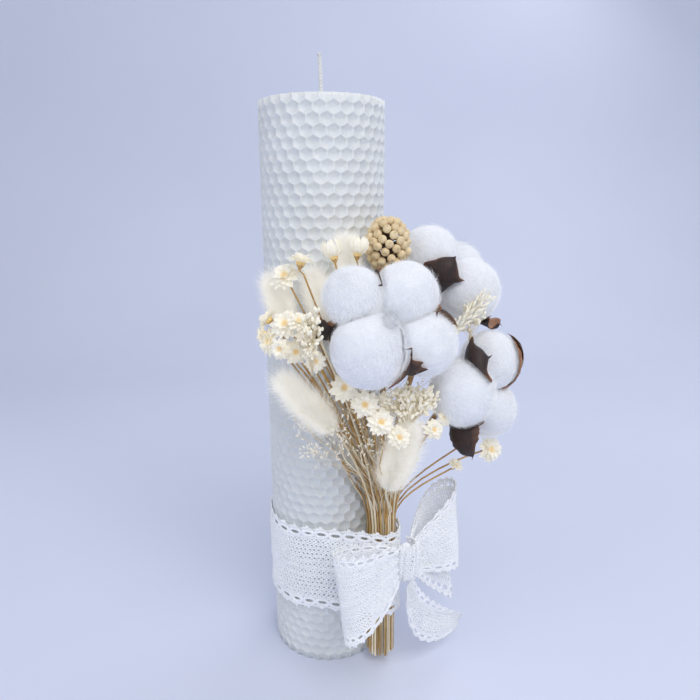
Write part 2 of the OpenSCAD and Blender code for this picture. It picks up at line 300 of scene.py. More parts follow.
class Shader:
    """Short names for building a node material."""

    def __init__(self, name):
        self.material = bpy.data.materials.new(name)
        self.material.use_nodes = True
        self.tree = self.material.node_tree
        self.surface = self.tree.nodes["Principled BSDF"]
        self.place = self.add("ShaderNodeTexCoord").outputs["Object"]

    def add(self, kind):
        return self.tree.nodes.new(kind)

    def link(self, a, b):
        self.tree.links.new(a, b)

    def noise(self, size_mm, detail=5.0, stretch=None):
        """Noise with features of about size_mm."""
        node = self.add("ShaderNodeTexNoise")
        node.inputs["Scale"].default_value = 1 / (size_mm * MM)
        node.inputs["Detail"].default_value = detail
        source = self.place
        if stretch:
            mapping = self.add("ShaderNodeMapping")
            mapping.inputs["Scale"].default_value = stretch
            self.link(self.place, mapping.inputs["Vector"])
            source = mapping.outputs["Vector"]
        self.link(source, node.inputs["Vector"])
        return node.outputs["Fac"]

    def cells(self, size_mm):
        node = self.add("ShaderNodeTexVoronoi")
        node.inputs["Scale"].default_value = 1 / (size_mm * MM)
        self.link(self.place, node.inputs["Vector"])
        return node.outputs["Distance"]

    def two_tone(self, value, low, high, dark, light):
        return self.ramp(value, [(low, dark), (high, light)])

    def shade(self):
        node = self.add("ShaderNodeAttribute")
        node.attribute_name = "shade"
        return node.outputs["Fac"]

    def ramp(self, value, stops):
        node = self.add("ShaderNodeValToRGB")
        ramp = node.color_ramp
        for position, _ in stops[2:]:
            ramp.elements.new(position)
        for element, (position, colour) in zip(ramp.elements, stops):
            element.position = position
            element.color = (*colour, 1)
        self.link(value, node.inputs["Fac"])
        return node.outputs["Color"]

    def blend(self, factor, a, b, kind="MIX"):
        node = self.add("ShaderNodeMix")
        node.data_type = "RGBA"
        node.blend_type = kind
        for socket, value in ((node.inputs[0], factor), (node.inputs[6], a), (node.inputs[7], b)):
            if isinstance(value, bpy.types.NodeSocket):
                self.link(value, socket)
            else:
                socket.default_value = value
        return node.outputs[2]

    def bump(self, heights):
        """heights is a list of (value, depth in mm, strength), laid one over another."""
        normal = None
        for value, depth, strength in heights:
            node = self.add("ShaderNodeBump")
            node.inputs["Strength"].default_value = strength
            node.inputs["Distance"].default_value = depth * MM
            self.link(value, node.inputs["Height"])
            if normal is not None:
                self.link(normal, node.inputs["Normal"])
            normal = node.outputs["Normal"]
        self.link(normal, self.surface.inputs["Normal"])

    def rough(self, value, low, high):
        node = self.add("ShaderNodeMapRange")
        node.inputs["To Min"].default_value = low
        node.inputs["To Max"].default_value = high
        self.link(value, node.inputs["Value"])
        self.link(node.outputs["Result"], self.surface.inputs["Roughness"])

    def colour(self, value):
        self.link(value, self.surface.inputs["Base Color"])

    def glow(self, value, strength):
        self.link(value, self.surface.inputs["Emission Color"])
        self.surface.inputs["Emission Strength"].default_value = strength

    def soft(self, amount, radius_mm, tint=(1, 0.9, 0.8)):
        self.surface.inputs["Subsurface Weight"].default_value = amount
        self.surface.inputs["Subsurface Scale"].default_value = radius_mm * MM
        self.surface.inputs["Subsurface Radius"].default_value = tint

    def set(self, **values):
        for name, value in values.items():
            self.surface.inputs[name.replace("_", " ")].default_value = value


def wax_material():
    s = Shader("wax")
    broad, fine = s.noise(18), s.noise(0.8, 6)
    tint = s.two_tone(broad, 0.3, 0.7, (0.71, 0.735, 0.74), (0.78, 0.805, 0.81))
    s.colour(s.blend(0.12, tint, s.two_tone(fine, 0.3, 0.7, (0.6, 0.6, 0.58), (0.82, 0.82, 0.81))))
    s.bump([(s.noise(5), 0.15, 0.4), (fine, 0.03, 0.35)])
    s.rough(fine, 0.42, 0.6)
    s.soft(0.7, 3.5)
    return s.material


def thread_material(name, dark, light, fibre=0.35, sheen=0.3, glow=0.0):
    """Spun cotton: short fibres wound along. The glow stands for light that the threads pass on."""
    s = Shader(name)
    twist, broad = s.noise(fibre, 4, (1, 1, 2.2)), s.noise(6)
    tone = s.blend(0.35, s.two_tone(broad, 0.3, 0.7, dark, light), s.two_tone(twist, 0.35, 0.65, dark, light))
    s.colour(tone)
    s.glow(tone, glow)
    s.bump([(s.cells(0.55), 0.12, 0.5), (twist, 0.06, 0.6)])
    s.rough(twist, 0.75, 0.95)
    s.soft(0.2, 0.8)
    s.set(Sheen_Weight=sheen, Sheen_Roughness=0.5)
    return s.material


def cotton_material():
    s = Shader("cotton")
    fibre, broad = s.noise(0.5, 6, (0.5, 1, 1.6)), s.noise(7)
    s.colour(s.blend(0.3, s.two_tone(broad, 0.3, 0.7, (0.78, 0.80, 0.85), (0.86, 0.88, 0.92)),
                     s.two_tone(fibre, 0.3, 0.7, (0.72, 0.74, 0.79), (0.93, 0.94, 0.96))))
    s.bump([(s.noise(3, 5), 0.8, 0.4), (s.noise(0.9, 6, (0.4, 1, 1.8)), 0.4, 0.6), (fibre, 0.2, 0.7)])
    s.rough(fibre, 0.85, 1)
    s.soft(0.5, 4, (1, 0.95, 0.92))
    s.set(Sheen_Weight=0.25, Sheen_Roughness=0.6)
    return s.material


def husk_material():
    s = Shader("husk")
    grain, broad = s.noise(0.7, 6, (1, 1, 0.35)), s.noise(4)
    skin = [(0.3, (0.010, 0.006, 0.006)), (0.62, (0.040, 0.018, 0.014)), (0.85, (0.13, 0.055, 0.03))]
    dark = s.ramp(grain, skin)
    tan = s.two_tone(broad, 0.3, 0.7, (0.24, 0.10, 0.045), (0.48, 0.25, 0.13))
    s.colour(s.blend(s.shade(), dark, tan))
    s.bump([(s.noise(1.8, 4), 0.35, 0.5), (grain, 0.12, 0.7)])
    s.rough(grain, 0.45, 0.75)
    return s.material


def plant_material(name, dark, light, accent=None, grain_mm=0.5, stretch=(1, 1, 0.15), soft=0.15,
                   glow=0.0):
    """Dried stems, petals and seeds; accent is the colour where the shade attribute is 1. The glow is painted
    light: an emission that brightens them though they are no lamp.
    """
    s = Shader(name)
    grain, broad = s.noise(grain_mm, 5, stretch), s.noise(9)
    base = s.blend(0.4, s.two_tone(grain, 0.3, 0.7, dark, light), s.two_tone(broad, 0.35, 0.65, dark, light))
    if accent:
        bright = [min(1, c * 1.5) for c in accent]
        base = s.blend(s.shade(), base, s.blend(grain, (*accent, 1), (*bright, 1)))
    s.colour(base)
    # Painted light: the base colour is also given off as light, so the part glows though it is no lamp.
    s.glow(base, glow)
    s.bump([(grain, 0.08, 0.6)])
    s.rough(grain, 0.5, 0.8)
    s.soft(soft, 1)
    return s.material


def hair_material(name, dark, light, glow):
    """Fine fibres. The glow stands for the light that fibres pass on to each other."""
    s = Shader(name)
    grain, broad = s.noise(0.8, 4), s.noise(5)
    tone = s.blend(0.5, s.two_tone(grain, 0.3, 0.7, dark, light), s.two_tone(broad, 0.35, 0.65, dark, light))
    s.colour(tone)
    s.glow(tone, glow)
    s.set(Sheen_Weight=0.4, Sheen_Roughness=0.4)
    s.bump([(grain, 0.02, 0.3)])
    s.rough(grain, 0.6, 0.85)
    return s.material


def drop_material():
    s = Shader("drop")
    s.colour(s.two_tone(s.noise(3), 0.3, 0.7, (0.93, 0.96, 1), (1, 1, 1)))
    s.bump([(s.noise(2.5, 2), 0.1, 0.15)])
    s.rough(s.noise(1.5), 0.02, 0.06)
    s.set(Transmission_Weight=0.9, IOR=1.38)
    return s.material


def backdrop_material():
    s = Shader("backdrop")
    s.colour(s.two_tone(s.noise(300, 3), 0.3, 0.7, (0.66, 0.70, 0.83), (0.69, 0.73, 0.86)))
    s.rough(s.noise(40), 0.7, 0.85)
    s.bump([(s.noise(8), 0.2, 0.1)])
    return s.material


# Each glow value below is painted light: an emission that brightens lace, straw, petals, fibres, berries and
# buds though they are no lamp.
WAX = wax_material()
LACE = thread_material("lace", (0.83, 0.85, 0.90), (0.93, 0.945, 0.975), glow=0.07)
WICK = thread_material("wick_cotton", (0.66, 0.67, 0.66), (0.84, 0.85, 0.84), 0.25, 0.1)
COTTON = cotton_material()
HUSK = husk_material()
STRAW = plant_material("straw", (0.40, 0.21, 0.05), (0.72, 0.48, 0.19))
PALE_STRAW = plant_material("pale_straw", (0.70, 0.59, 0.38), (0.90, 0.82, 0.64), glow=0.04)
PETAL = plant_material("petal", (0.90, 0.85, 0.70), (0.98, 0.95, 0.86), (0.76, 0.52, 0.22),
                       grain_mm=0.35, stretch=None, soft=0.4, glow=0.11)
BUNNY = plant_material("bunny", (0.96, 0.94, 0.87), (1.0, 0.99, 0.95), grain_mm=0.6, stretch=None, soft=0.9)
BUNNY_HAIR = hair_material("bunny_hair", (0.94, 0.915, 0.85), (1.0, 0.985, 0.94), 0.2)
COTTON_HAIR = hair_material("cotton_fibre", (0.86, 0.88, 0.92), (0.95, 0.96, 0.98), 0.2)
BERRY = plant_material("berry", (0.62, 0.46, 0.25), (0.88, 0.76, 0.52), (0.16, 0.09, 0.03),
                       grain_mm=0.8, stretch=None, soft=0.2, glow=0.05)
BARK = plant_material("bark", (0.06, 0.035, 0.025), (0.17, 0.11, 0.075))
COTTON_STALK = plant_material("cotton_stalk", (0.20, 0.10, 0.035), (0.48, 0.29, 0.11), grain_mm=0.8)
FILLER = plant_material("filler", (0.85, 0.81, 0.68), (0.96, 0.94, 0.85), (0.50, 0.38, 0.20),
                        grain_mm=0.4, stretch=None, soft=0.3, glow=0.1)
TWINE = thread_material("twine", (0.38, 0.28, 0.15), (0.60, 0.47, 0.29), 0.4, 0.1)


# ---- Candle: honeycomb sheets ----

CELLS_ROUND = 31
CELL_ROWS = 58.5
CELL_W = 2 * math.pi * CANDLE_R / CELLS_ROUND
# Depths below the sheet's face: of the lip's inner edge, of the floor's corners and of its middle
RIM_DEPTH, FLOOR_DEPTHS, DEEPEST = 0.05, 3 * [0.26, 0.7], 1.15
SHEET_T = 3.2
# The roll: distance between turns, where its edge lies, over how many degrees it tucks under, and its length
TURN_PITCH = 3.5
SEAM = math.radians(100)
TUCK = 40.0
SHEET_TURN = 715.0


def sheet_radius(degrees):
    """Radius of the outer sheet's face: level, with a dip each turn where it tucks under its own edge."""
    turn = np.floor(degrees / 360)
    return CANDLE_R - TURN_PITCH * (turn + np.clip((degrees % 360) - 360 + TUCK, 0, None) / TUCK)


def flat_comb(length, height):
    """A flat comb sheet: x along it, y up it, z into it. Each cell has a lip, walls and tilted floors."""
    side = CELL_W / math.sqrt(3)
    row_h = height / CELL_ROWS
    squash = row_h / (1.5 * side)
    corner = circle(math.radians(90) - np.arange(6) * math.pi / 3) * [1, squash] * side

    def ring(scale, depth):
        return np.concatenate([corner * scale, np.broadcast_to(depth, 6)[:, None]], 1)

    cell = np.concatenate([ring(1, 0), ring(0.94, RIM_DEPTH), ring(0.84, FLOOR_DEPTHS), [[0, 0, DEEPEST]],
                           ring(1, SHEET_T)])
    k = np.arange(6)
    nxt = (k + 1) % 6
    quads = np.concatenate([
        np.stack([k, nxt, 6 + nxt, 6 + k], 1),
        np.stack([6 + k, 6 + nxt, 12 + nxt, 12 + k], 1),
        np.array([[18, 12 + i, 12 + (i + 1) % 6, 12 + (i + 2) % 6] for i in (5, 1, 3)]),
    ])
    under = (19 + k)[None]
    spots = [
        (i * CELL_W + (row % 2) * CELL_W / 2, (row + 0.3) * row_h)
        for row in range(-1, int(CELL_ROWS) + 2) for i in range(-1, int(length / CELL_W) + 2)
    ]
    shift = np.array([(x, y, 0) for x, y in spots])
    points = (cell[None] + shift[:, None]).reshape(-1, 3)
    offset = (np.arange(len(shift)) * len(cell))[:, None, None]
    return points, [(quads[None] + offset).reshape(-1, 4), (under[None] + offset).reshape(-1, 6)]


def comb_sheet():
    """The flat comb is trimmed to a true sheet, closed at its cut edges and rolled up."""
    length = math.radians(SHEET_TURN) * CANDLE_R
    points, faces = flat_comb(length, CANDLE_H)
    mesh = bpy.data.meshes.new("flat_comb")
    mesh.from_pydata(points.tolist(), [], faces[0].tolist() + faces[1].tolist())
    bm = bmesh.new()
    bm.from_mesh(mesh)
    bmesh.ops.remove_doubles(bm, verts=bm.verts, dist=0.01)
    for at, out in (((0, 0, 0), (-1, 0, 0)), ((length, 0, 0), (1, 0, 0)),
                    ((0, 0, 0), (0, -1, 0)), ((0, CANDLE_H, 0), (0, 1, 0))):
        whole = bm.verts[:] + bm.edges[:] + bm.faces[:]
        bmesh.ops.bisect_plane(bm, geom=whole, plane_co=at, plane_no=out, clear_outer=True, dist=0.001)
    near_face = 0.8 * SHEET_T
    rim = [e for e in bm.edges if e.is_boundary and max(v.co.z for v in e.verts) < near_face]
    made = bmesh.ops.extrude_edge_only(bm, edges=rim)["geom"]
    for v in made:
        if isinstance(v, bmesh.types.BMVert):
            v.co.z = SHEET_T
    bmesh.ops.remove_doubles(bm, verts=bm.verts, dist=0.01)
    loose = [e for e in bm.edges if e.is_boundary]
    if loose:
        bmesh.ops.holes_fill(bm, edges=loose, sides=0)
    bmesh.ops.triangulate(bm, faces=[f for f in bm.faces if len(f.verts) > 4])
    bmesh.ops.recalc_face_normals(bm, faces=bm.faces)
    for v in bm.verts:
        degrees = math.degrees(v.co.x / CANDLE_R)
        radius = float(sheet_radius(min(degrees, SHEET_TURN - 0.01))) - v.co.z
        turn = SEAM + math.radians(degrees)
        v.co = Vector((radius * math.cos(turn), radius * math.sin(turn), v.co.y)) * MM
    mesh.clear_geometry()
    bm.to_mesh(mesh)
    bm.free()
    mesh.polygons.foreach_set("use_smooth", np.full(len(mesh.polygons), True))
    mesh.materials.append(WAX)
    obj = add_object("comb_sheet", mesh)
    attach(obj, "candle")
    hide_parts("outer_sheet")


def wick():
    """Three strands laid round each other, leaning above the wax, with a few loose fibres on top."""
    strand_r, lay, offset, loose = 0.5, 4.2, 0.46, 60
    height = np.linspace(0.6, WICK_TOP - 0.3, 900)
    lean = np.clip(height - CANDLE_H, 0, None) ** 2 * 0.0016
    parts = []
    for strand in range(3):
        turn = height * 2 * math.pi / lay + strand * 2 * math.pi / 3
        path = np.stack([offset * np.cos(turn) - lean, offset * np.sin(turn), height], 1)
        parts.append(tube(path, strand_r + 0.03 * np.sin(height * 5 + strand), 6))
    draw = np.random.default_rng(5)
    x, y = draw.normal(0, 0.4, loose) - lean[-1], draw.normal(0, 0.4, loose)
    roots = np.stack([x, y, np.full(loose, WICK_TOP - 1.2)], 1)
    reach = draw.uniform(0.6, 1.5, loose)
    tips = np.stack([draw.normal(0, 0.35, loose), draw.normal(0, 0.35, loose), reach], 1)
    parts.append(hairs(roots, np.linspace(0, 1, 4)[None, :, None] * tips[:, None], 0.07))
    piece("wick_strands", join(parts), WICK, "candle", ["wick"])


# ---- Lace ----

LACE_T = 0.9
EYELET_W = 6.6
# Rows of the ribbon: (height, stitch width, share of the stitch that is hole across, and up)
PICOT_ROW = (1.5, 2.2, 0.12, 0.12)
EYELET_ROW = (3.3, EYELET_W, 0.54, 0.4)
DENSE_ROW = (1.4, 1.8, 0.2, 0.2)
OPEN_ROW = (2.1, 2.2, 0.4, 0.4)
TAIL_ROW = (2.3, 2.2, 0.56, 0.54)
BORDER = [PICOT_ROW, EYELET_ROW, DENSE_ROW]
MIDDLE = [DENSE_ROW, OPEN_ROW, (1.6, 1.8, 0.2, 0.2), OPEN_ROW, DENSE_ROW]
RIBBON_ROWS = BORDER + 5 * [OPEN_ROW] + MIDDLE + 5 * [OPEN_ROW] + BORDER[::-1]
TAIL_ROWS = BORDER + 7 * [TAIL_ROW] + BORDER[::-1]


def surface_frame(surface, s, t, step=0.05):
    """Points of a surface and its normals."""
    along = surface(s + step, t) - surface(s - step, t)
    across = surface(s, t + step) - surface(s, t - step)
    return surface(s, t), unit(np.cross(along, across))


def stitch_ring(n):
    """n points round a square, from -1 to 1, and the same points round a circle."""
    ring = circle((np.arange(n) + 0.5) * 2 * math.pi / n)
    return ring / np.max(np.abs(ring), axis=1, keepdims=True), ring


def lace(surface, length, width, seed, rows=RIBBON_ROWS):
    """Ribbon worked as rows of closed stitches; surface(s, t) gives the cloth's middle in mm."""
    scale = width / sum(r[0] for r in rows)
    draw = np.random.default_rng(seed)
    parts, t0 = [], 0.0
    for index, (row_h, stitch_w, hole_w, hole_h) in enumerate(rows):
        row_h *= scale
        n = 16 if stitch_w > 4 else 8
        square, ring = stitch_ring(n)
        count = max(1, round(length / stitch_w))
        w = length / count
        shift = 0.5 * w * (index % 2)
        middle = np.arange(count + (index % 2)) * w + 0.5 * w - shift
        cs = middle[:, None] + draw.normal(0, 0.05, (len(middle), 1)) * min(stitch_w, 2.2)
        ct = t0 + row_h / 2 + draw.normal(0, 0.04, (len(middle), 1))
        outer_s = np.clip(middle[:, None] + square[:, 0] * w * 0.52, 0, length)
        outer_t = t0 + row_h / 2 + square[:, 1] * row_h * 0.53 * np.ones((len(middle), 1))
        if index in (0, len(rows) - 1):
            out = -1 if index == 0 else 1
            phase = outer_s * 2 * math.pi
            scallop = 0.9 * np.cos(phase / EYELET_W) + 0.35 * np.cos(phase / w)
            outer_t = outer_t + out * scallop * (square[:, 1] * out > 0.5)
        grow = draw.normal(1, 0.12, (len(middle), 1))
        hole_s = np.clip(cs + ring[:, 0] * w * 0.5 * hole_w * grow, 0.02, length - 0.02)
        hole_t = ct + ring[:, 1] * row_h * 0.5 * hole_h * grow
        crown = LACE_T * 0.5 * draw.normal(0.95, 0.1, (len(middle), 1)) * np.ones((1, n))
        edge = 0.18 * LACE_T * np.ones_like(crown)
        crown_s, crown_t = 0.5 * (outer_s + hole_s), 0.5 * (outer_t + hole_t)
        layers = [
            (outer_s, outer_t, edge),
            (crown_s, crown_t, crown),
            (hole_s, hole_t, np.zeros_like(crown)),
            (crown_s, crown_t, -crown),
            (outer_s, outer_t, -edge),
        ]
        s = np.stack([a[0] for a in layers], 1)
        t = np.stack([a[1] for a in layers], 1)
        lift = np.stack([a[2] for a in layers], 1)
        here, normal = surface_frame(surface, s.ravel(), t.ravel())
        points = here + normal * lift.ravel()[:, None]
        face = torus_faces(5, n)
        offset = (np.arange(len(middle)) * 5 * n)[:, None, None]
        parts.append((points, [(face[None] + offset).reshape(-1, 4)]))
        t0 += row_h
    return join(parts)


def torus_faces(rings, n):
    """Quads that close rings of n points into a torus."""
    i, k = np.meshgrid(np.arange(rings), np.arange(n), indexing="ij")
    i, k = i.ravel(), k.ravel()
    below, right = (i + 1) % rings, (k + 1) % n
    return np.stack([i * n + k, below * n + k, below * n + right, i * n + right], 1)


def band_path():
    """The line of the band round the candle and the bundle, as points in plan and distances along it."""
    big = CANDLE_R + 0.6 + LACE_T / 2
    small = BUNDLE_R + 0.2 + LACE_T / 2
    rho = float(np.hypot(BUNDLE[0], BUNDLE[1]))
    lean = math.acos((big - small) / rho)
    far = np.linspace(lean, 2 * math.pi - lean, 200)
    near = np.linspace(-lean, lean, 60)
    points = np.concatenate([big * circle(far + TIE_TURN), rho * OUT[:2] + small * circle(near + TIE_TURN)])
    points = np.concatenate([points, points[:1]])
    along = np.concatenate([[0], np.cumsum(np.linalg.norm(np.diff(points, axis=0), axis=1))])
    return points, along


def ribbon_band():
    points, along = band_path()
    length = along[-1]

    def surface(s, t):
        s = s % length
        x, y = np.interp(s, along, points[:, 0]), np.interp(s, along, points[:, 1])
        z = BAND_Z + t + 0.35 * np.sin(s / 9) + 0.2 * np.sin(s / 3.7)
        ripple = 0.12 * np.sin(s / 4.1 + t / 5) + 0.1 * np.sin(t / 2.3 - s / 7)
        r = np.hypot(x, y)
        return np.stack([x * (1 + ripple / r), y * (1 + ripple / r), z], -1)

    obj = piece("lace_band", lace(surface, length, BAND_W, 11), LACE, "posy", ["ribbon_band"])


def loop_surface(fold, half, depth):
    """A loop of the bow leaves the knot gathered, opens to its fold and comes back behind itself."""
    fold, half = np.asarray(fold, float), np.asarray(half, float)
    across = unit(np.cross(fold - KNOT, half))

    def surface(u, v):
        u = np.clip(u, 0, 1)[..., None]
        v = v[..., None] * 2 - 1
        reach = np.sin(math.pi * u)
        gather = mix([0, 0, KNOT_H * 0.36], half, reach**0.7)
        pleat = (1 - reach) ** 2 * 0.5 * np.sin(v * 14) + 0.35 * np.sin(v * 4 + u * 9) * reach
        thickness = depth / 2 * np.sin(2 * math.pi * u) + LACE_T * np.cos(math.pi * u)
        return mix(KNOT, fold, 0.1 + 0.9 * reach) + v * gather + across * (thickness + pleat)

    return surface


def strip_surface(edge_a, edge_b, wave):
    """A tail lies between two edges, each a curve with four control points."""
    def surface(u, v):
        a, b = bezier(edge_a, np.clip(u, -0.01, 1.01)), bezier(edge_b, np.clip(u, -0.01, 1.01))
        v = v[..., None]
        lift = unit(np.cross(b - a, OUT + [0, 0, 0.3]))
        u = u[..., None]
        return a + (b - a) * v + lift * wave * u * np.sin(v * 7 + u * 4) * np.sin(math.pi * np.clip(v, 0, 1))

    return surface


def ribbon_piece(name, node, surface, length, width, seed):
    """Works lace over a surface that runs from 0 to 1 both ways."""
    def scaled(s, t):
        return surface(s / length, t / width)

    rows, held = (TAIL_ROWS, "folded") if "tail" in name else (RIBBON_ROWS, "gathered")
    obj = piece(name, lace(scaled, length, width, seed, rows), LACE, "posy", [node])


def bow_knot():
    """The ribbon is wrapped once over the middle of the bow, its width drawn up into pleats."""
    wrap = 2 * math.pi * 0.62
    width, length = BAND_W, 26.0

    def surface(s, t):
        up = (s / length - 0.5) * 2
        z = KNOT_H * 0.47 * np.sin(up * math.pi / 2)
        turn = TIE_TURN + (t / width - 0.5) * wrap + 0.35 * up
        profile = KNOT_R * (1.22 - 0.36 * np.abs(up) ** 2.5)
        pleat = 0.34 * np.sin(t * 2 * math.pi / 5.2 + 2.2 * up) + 0.15 * np.sin(t * 1.9 + 5 * up)
        r = profile + pleat - 0.4
        return KNOT + np.stack([r * np.cos(turn), r * np.sin(turn), z], -1)

    obj = piece("lace_knot", lace(surface, length, width, 15), LACE, "posy", ["bow_knot"])
    core_r = KNOT_R - 1.3
    core = ball(KNOT, [core_r, core_r, KNOT_H * 0.44], 14, 18, rippled(0.05, 9))
    piece("knot_core", core, LACE, "posy")


def bow():
    """The fold, half width and depth of each loop and the edges of each tail are the CAD's own."""
    bow_knot()
    left = loop_surface([5, -52, 51], [-2.5, 2, 21], 12)
    ribbon_piece("lace_loop_left", "bow_loop_left", left, 96, 40, 12)
    right = loop_surface([61, -11, 65], [-0.6, 3.6, 21], 13)
    ribbon_piece("lace_loop_right", "bow_loop_right", right, 96, 40, 13)
    upper = strip_surface([[38, -34, 66], [46, -24, 68], [54, -17, 66], [61, -8, 62]],
                          [[39, -38, 54], [43, -34, 46], [51, -26, 36], [62, -13, 22]], 2.0)
    ribbon_piece("lace_tail_upper", "bow_tail_upper", upper, 46, 34, 14)
    lower = strip_surface([[38, -41, 54], [41, -40, 44], [51, -32, 32], [66, -18, 17]],
                          [[35, -42, 50], [32, -46, 14], [56, -24, 4], [64, -20, 12]], 1.5)
    ribbon_piece("lace_tail_lower", "bow_tail_lower", lower, 60, 30, 16)


# ---- Stems ----

STEM_PITCH = 1.6
TIE_LOW, TIE_HIGH, BEND = 40, 74, 3


def slot_at(column, row):
    """A place in the tied bundle, as in the CAD."""
    foot = np.array([BUNDLE[0], BUNDLE[1], 0])
    return foot + STEM_PITCH * (column * SIDE + (row - 3) * OUT)


def stem_path(place, head, face, steps=14):
    """A stem rises straight through the tie and bends over to its head."""
    free, head = place + [0, 0, TIE_HIGH], np.asarray(head, float)
    rise = [0, 0, np.linalg.norm(head - free) * 0.35]
    curve = bezier([free, free + rise, head - unit(face) * BEND, head], np.linspace(0, 1, steps))
    return np.concatenate([[place + [0, 0, FOOT_Z], place + [0, 0, TIE_LOW]], curve])


def wobble(path, size, seed):
    """Natural crookedness: the middle of a path strays, its ends stay."""
    draw = np.random.default_rng(seed)
    along = np.linspace(0, 1, len(path))
    hold = np.sin(math.pi * along)[:, None] * np.clip((path[:, 2:3] - TIE_HIGH) / 20, 0, 1)
    sway = sum(np.sin(along * f + draw.uniform(0, 6))[:, None] * draw.normal(0, size, 3) for f in (5, 9, 15))
    return path + sway * hold


def extra_straws():
    """Fine pale straws and two golden strands lie among the stems."""
    draw = np.random.default_rng(21)
    pale, golden = [], []
    straws, shortest, tallest = 26, 100, 138
    middle = slot_at(0, 3)
    for i in range(straws):
        angle, r = draw.uniform(0, 2 * math.pi), BUNDLE_R * 0.86 * math.sqrt(draw.uniform(0.1, 1))
        spread = r * (math.cos(angle) * SIDE + math.sin(angle) * OUT)
        place = middle + spread
        height = draw.uniform(shortest, tallest)
        head = place + spread * (height - TIE_HIGH) / 20 + [0, 0, height] + SIDE * draw.normal(-6, 8)
        head = push_out(head, 4)
        path = wobble(stem_path(place, head, [0, 0, 1], 22), 0.8, i)
        (golden if i % 3 == 0 else pale).append(tube(path, draw.uniform(0.25, 0.42), 6))
    piece("pale_straws", join(pale), PALE_STRAW, "posy")
    piece("golden_straws", join(golden), STRAW, "posy")
    strands = []
    for column, row in ((-1.4, 5.8), (1.1, 5.4)):
        for turn in range(3):
            head = slot_at(column * 3.2, row + 3) + [0, 0, 118 + 6 * turn]
            path = stem_path(slot_at(column, row), head, [0, 0, 1], 24)
            path[:, :2] += 0.4 * circle(path[:, 2] / 6 + turn * 2.1)
            strands.append(tube(path, 0.5, 7))
    piece("golden_strands", join(strands), STRAW, "posy")


def push_out(point, gap):
    """Moves a point straight out until it is clear of the candle."""
    r = math.hypot(point[0], point[1])
    least = CANDLE_R + gap
    return point if r >= least else np.array([point[0] * least / r, point[1] * least / r, point[2]])


# ---- Cotton ----

FRONT_LOCKS = [[[11, -53, 183], 11], [[31, -50, 183], 12], [[17, -58, 164], 14], [[38, -54, 165], 12]]
RIGHT_LOCKS = [[[46, -14, 195], 12], [[63, -17, 180], 13], [[46, -5, 183], 11], [[61, -2, 188], 11]]
LOWER_LOCKS = [[[57, -40, 140], 13], [[72, -25, 150], 12], [[72, -25, 128], 12], [[62, -19, 138], 11]]
FRONT_BASE, RIGHT_BASE, LOWER_BASE = [24, -40, 166], [53, -18, 178], [61, -30, 141]
# Each leaf of a burr is [belly, tip, width, degrees that its blade turns out from the lint]
FRONT_LEAVES = [[[-3, -49, 163], [-3, -57, 174], 16, -75], [[32, -61, 151], [29, -66, 165], 13, 0],
                [[51, -45, 173], [42, -59, 176], 10, 0], [[19, -40, 194], [19, -57, 188], 9, 0]]
RIGHT_LEAVES = [[[43, -33, 184], [54, -31, 196], 14, 0], [[73, -14, 161], [77, -24, 165], 10, 0],
                [[40, 2, 196], [48, 6, 204], 10, 0]]
LOWER_LEAVES = [[[55, -47, 160], [68, -42, 157], 16, 0], [[50, -45, 122], [60, -47, 113], 14, 0],
                [[82, -18, 149], [83, -28, 158], 9, 0], [[70, -10, 124], [79, -12, 116], 10, 0]]
# How far the lint swells past its CAD spheres, and the fine fibres on each lock
LINT_SWELL = 1.07
LINT_FIBRES = 5200
# Width of the rounded edge where a lock is pressed flat
FLATTEN = 1.2


def pressed(points, centre, radius, locks):
    """Points of one lock, held back where it presses against the others."""
    centre = np.asarray(centre, float)
    for other, r in locks:
        other = np.asarray(other, float)
        gap = other - centre
        d = np.linalg.norm(gap)
        if 0 < d < (radius + r) * LINT_SWELL:
            limit = (d * d + radius**2 - r**2) / (2 * d) - 0.25
            beyond = (points - centre) @ (gap / d) - limit + FLATTEN
            back = np.where(beyond > 0, beyond**2 / (beyond + 2 * FLATTEN), 0)
            points = points - back[:, None] * (gap / d)
    return points


def cotton_lock(centre, radius, base, locks, seed):
    """One lock of lint: full and soft, pressed flat against its neighbours and drawn in towards the burr."""
    axis = unit(np.asarray(centre, float) - base)

    def bumps(d):
        back = np.clip(-(d @ axis), 0, 1)
        return (LINT_SWELL - 0.16 * back**2 + 0.05 * waves(d, 1.6, seed) + 0.016 * waves(d, 0.5, seed + 1)
                + 0.008 * waves(d, 0.2, seed + 2))

    points, faces = ball(centre, [radius] * 3, 48, 60, bumps)
    return pressed(points, centre, radius, locks), faces


def cotton_fuzz(chosen, locks, count, seed):
    """Fine fibres that lie over the lint and lift at their ends."""
    draw = np.random.default_rng(seed)
    roots, paths = [], []
    for centre, radius in chosen:
        centre = np.asarray(centre, float)
        out = unit(draw.normal(size=(count, 3)))
        root = pressed(centre + out * radius * LINT_SWELL * 0.97, centre, radius, locks)
        combed = unit(draw.normal(size=3))
        flow = unit(np.cross(out, combed + 0.45 * draw.normal(size=(count, 3))))
        long = draw.uniform(2.5, 6.5, (count, 1))
        lift = np.abs(draw.normal(0, 0.7, (count, 1))) + 0.25
        curl = draw.normal(0, 0.8, (count, 1)) * np.cross(out, flow)
        t = np.linspace(0, 1, 4)[None, :, None]
        drop = (long * t[..., 0]) ** 2 / (2 * radius)
        rise = lift[:, None] * np.sin(t * 2.2) - drop[..., None]
        path = flow[:, None] * long[:, None] * t + out[:, None] * rise + curl[:, None] * t * t
        inside = np.zeros(count, bool)
        for other, r in locks:
            if not np.array_equal(other, centre):
                inside |= np.linalg.norm(root - np.asarray(other, float), axis=1) < r
        roots.append(root[~inside])
        paths.append(path[~inside])
    return hairs(np.concatenate(roots), np.concatenate(paths), 0.045)


def clear_of_lint(points, locks, gap):
    """Points pushed out to a skin over the locks."""
    for centre, radius in locks:
        centre = np.asarray(centre, float)
        away = points - centre
        d = np.linalg.norm(away, axis=1, keepdims=True)
        least = radius * LINT_SWELL + gap
        points = np.where(d < least, centre + away * least / d, points)
    return points


